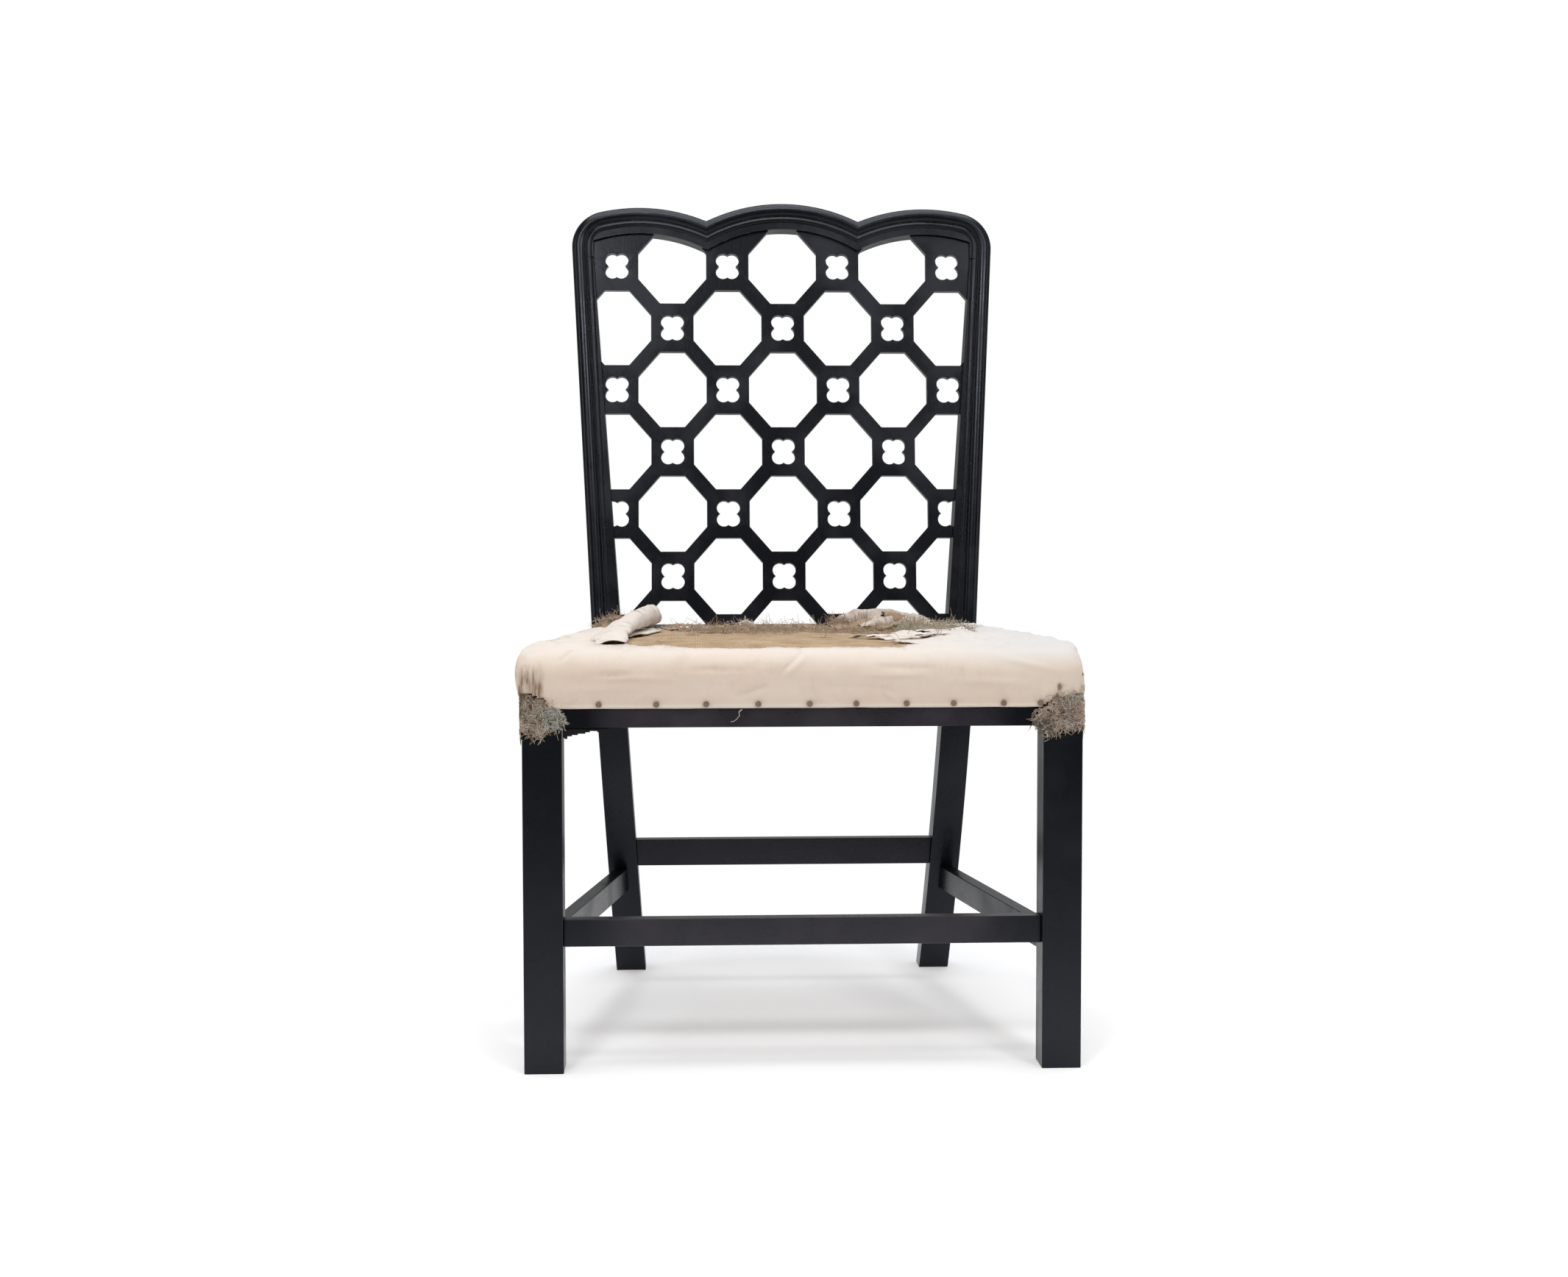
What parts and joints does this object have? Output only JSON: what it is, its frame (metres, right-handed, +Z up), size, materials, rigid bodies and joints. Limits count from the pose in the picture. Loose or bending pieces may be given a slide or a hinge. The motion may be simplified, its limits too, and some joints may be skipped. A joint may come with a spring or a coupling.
{
  "type": "side chair",
  "caption": "Armless side chair with a leaning back of pierced lattice under a humped crest rail, square legs, box stretchers and a stuffed seat whose cover is torn.",
  "frame": {"origin": "on the floor under the middle of the chair's outline", "axes": "+X to the right of a person who faces the front, +Y to the back, +Z up"},
  "size_m": [0.5946, 0.5598, 0.9708],
  "materials": {
    "black_lacquer": "glossy black lacquer",
    "bare_wood": "bare, sawn",
    "iron": "dull, slightly rusted",
    "webbing": "woven jute",
    "hessian": "open woven jute",
    "stuffing": "matted fibre",
    "calico": "plain woven cotton, aged",
    "black_cloth": "thin matt cloth"
  },
  "bodies": {
    "root": {"front_leg_right": "black_lacquer", "front_leg_left": "black_lacquer", "back_post_right": "black_lacquer", "back_post_left": "black_lacquer", "crest_rail": "black_lacquer", "lattice_panel": "black_lacquer", "lattice_shoe": "black_lacquer", "seat_rail_front": "black_lacquer", "seat_rail_rear": "black_lacquer", "seat_rail_right": "black_lacquer", "seat_rail_left": "black_lacquer", "stretcher_front": "black_lacquer", "stretcher_rear": "black_lacquer", "stretcher_right": "black_lacquer", "stretcher_left": "black_lacquer", "corner_brace_front_right": "bare_wood", "corner_brace_front_left": "bare_wood", "corner_brace_rear_right": "bare_wood", "corner_brace_rear_left": "bare_wood", "corner_brace_screws": "iron", "webbing_long": "webbing", "webbing_cross": "webbing", "webbing_tacks": "iron", "hessian_base": "hessian", "seat_stuffing": "stuffing", "hessian_cover": "hessian", "calico_cover": "calico", "cover_tacks_front": "iron", "cover_tacks_right": "iron", "cover_tacks_left": "iron", "calico_flap_left": "calico", "calico_flap_right": "calico", "torn_heap": "calico", "corner_tuft_right": "hessian", "corner_tuft_left": "hessian", "bottom_cloth_remnant": "black_cloth"}
  },
  "joints": []
}
